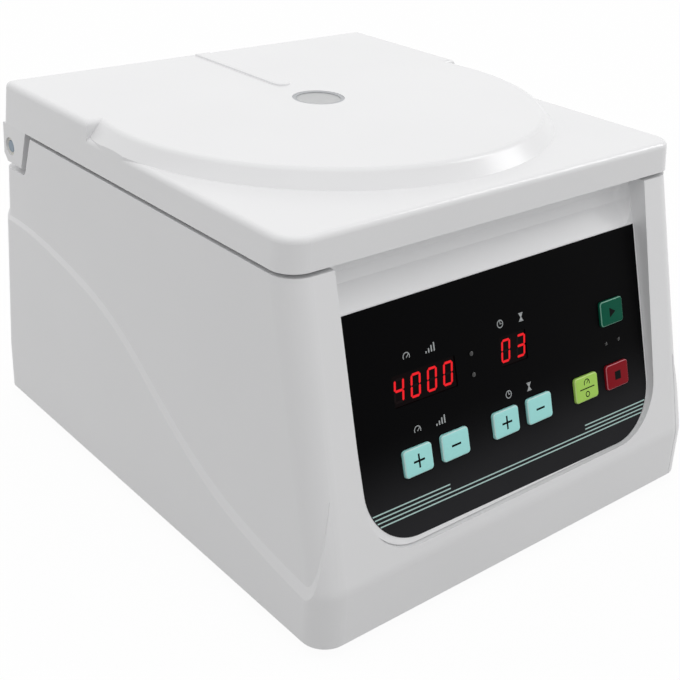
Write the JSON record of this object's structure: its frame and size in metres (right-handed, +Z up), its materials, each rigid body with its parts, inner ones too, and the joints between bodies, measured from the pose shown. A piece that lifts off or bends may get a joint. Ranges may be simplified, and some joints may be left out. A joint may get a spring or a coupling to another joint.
{
  "type": "benchtop centrifuge",
  "caption": "Low benchtop centrifuge with a hinged lid, a slanted-pocket rotor in a steel chamber, and a raked front panel with red digit displays and push keys.",
  "frame": {"origin": "on the table under the middle of the housing", "axes": "+X to the user's right, +Y from the front panel to the rear, +Z up"},
  "size_m": [0.311, 0.369, 0.2347],
  "materials": {
    "shell_white": "white moulded plastic with a soft gloss",
    "lid_white": "white moulded plastic with a soft gloss",
    "liner_grey": "light grey plastic",
    "steel_plate": "zinc plated sheet",
    "bowl_steel": "drawn stainless steel",
    "pin_steel": "turned steel",
    "rubber_black": "matt",
    "seal_grey": "soft silicone",
    "rotor_metal": "cast and turned, satin",
    "sleeve_grey": "moulded sleeve",
    "motor_paint": "black paint",
    "motor_cast": "die cast",
    "lamination": "stacked laminations",
    "winding_copper": "enamelled winding",
    "panel_black": "smooth dark film",
    "display_red": "dark red filter",
    "key_cyan": "moulded cap",
    "key_lime": "moulded cap",
    "key_green": "moulded cap",
    "key_red": "moulded cap",
    "lamp_dark": "unlit tinted lamp",
    "lens_clear": "clear acrylic",
    "bush_nylon": "nylon",
    "board_green": "solder mask",
    "fitting_black": "moulded",
    "transformer_iron": "varnished core"
  },
  "bodies": {
    "housing": {"housing_shell": "shell_white", "base_plate": "steel_plate", "foot_front_left": "rubber_black", "foot_front_right": "rubber_black", "foot_rear_left": "rubber_black", "foot_rear_right": "rubber_black", "foot_screws": "steel_plate", "chamber_bowl": "bowl_steel", "chamber_seal": "seal_grey", "guard_barrel": "steel_plate", "motor_plate": "steel_plate", "motor_damper_1": "rubber_black", "motor_damper_2": "rubber_black", "motor_damper_3": "rubber_black", "motor_lower_cap": "motor_cast", "motor_upper_cap": "motor_cast", "motor_can": "motor_paint", "motor_stator": "lamination", "bearing_lower": "pin_steel", "bearing_upper": "pin_steel", "spindle_seal": "rubber_black", "hinge_pin_left": "pin_steel", "hinge_pin_right": "pin_steel", "hinge_bracket_left": "steel_plate", "hinge_bracket_right": "steel_plate", "lock_solenoid": "winding_copper", "lock_bracket": "steel_plate", "panel_plate": "panel_black", "panel_board": "board_green", "board_standoffs": "bush_nylon", "key_switches": "fitting_black", "indicator_lamps": "lamp_dark", "display_speed": "display_red", "display_time": "display_red", "power_inlet": "fitting_black", "power_switch_frame": "fitting_black", "control_board": "board_green", "transformer": "transformer_iron"},
    "lid": {"lid_shell": "lid_white", "lid_liner": "liner_grey", "lid_screws": "steel_plate", "window_ring": "liner_grey", "window_lens": "lens_clear", "lid_hook": "steel_plate", "hinge_bush_left": "bush_nylon", "hinge_bush_right": "bush_nylon"},
    "rotor_unit": {"rotor": "rotor_metal", "rotor_nut": "pin_steel", "tube_sleeves": "sleeve_grey", "spindle": "pin_steel", "motor_armature": "winding_copper"},
    "bolt": {"lock_bolt": "pin_steel"},
    "rocker": {"power_rocker": "fitting_black"},
    "speed_up_key": {"key_speed_up": "key_cyan"},
    "speed_down_key": {"key_speed_down": "key_cyan"},
    "time_up_key": {"key_time_up": "key_cyan"},
    "time_down_key": {"key_time_down": "key_cyan"},
    "mode_key": {"key_mode": "key_lime"},
    "stop_key": {"key_stop": "key_red"},
    "start_key": {"key_start": "key_green"}
  },
  "joints": [
    {"name": "lid_hinge", "type": "hinge", "parent": "housing", "child": "lid", "pos_m": [0, 0.1585, 0.1912], "axis": [-1, 0, 0], "range_deg": [0, 85]},
    {"name": "rotor_spin", "type": "hinge", "parent": "housing", "child": "rotor_unit", "pos_m": [0, 0.024, 0.1], "axis": [0, 0, 1], "continuous": true},
    {"name": "lock_slide", "type": "slide", "parent": "housing", "child": "bolt", "axis": [-1, 0, 0], "range_m": [0, 0.012], "stiffness_N_per_m": 60},
    {"name": "power_rocker_tilt", "type": "hinge", "parent": "housing", "child": "rocker", "pos_m": [0.048, 0.178, 0.025], "axis": [0, 0, 1], "range_deg": [0, 10]},
    {"name": "speed_up_press", "type": "slide", "parent": "housing", "child": "speed_up_key", "axis": [0, 0.9598, -0.2807], "range_m": [0, 0.0012], "stiffness_N_per_m": 600},
    {"name": "speed_down_press", "type": "slide", "parent": "housing", "child": "speed_down_key", "axis": [0, 0.9598, -0.2807], "range_m": [0, 0.0012], "stiffness_N_per_m": 600},
    {"name": "time_up_press", "type": "slide", "parent": "housing", "child": "time_up_key", "axis": [0, 0.9598, -0.2807], "range_m": [0, 0.0012], "stiffness_N_per_m": 600},
    {"name": "time_down_press", "type": "slide", "parent": "housing", "child": "time_down_key", "axis": [0, 0.9598, -0.2807], "range_m": [0, 0.0012], "stiffness_N_per_m": 600},
    {"name": "mode_press", "type": "slide", "parent": "housing", "child": "mode_key", "axis": [0, 0.9598, -0.2807], "range_m": [0, 0.0012], "stiffness_N_per_m": 600},
    {"name": "stop_press", "type": "slide", "parent": "housing", "child": "stop_key", "axis": [0, 0.9598, -0.2807], "range_m": [0, 0.0012], "stiffness_N_per_m": 600},
    {"name": "start_press", "type": "slide", "parent": "housing", "child": "start_key", "axis": [0, 0.9598, -0.2807], "range_m": [0, 0.0012], "stiffness_N_per_m": 600}
  ]
}
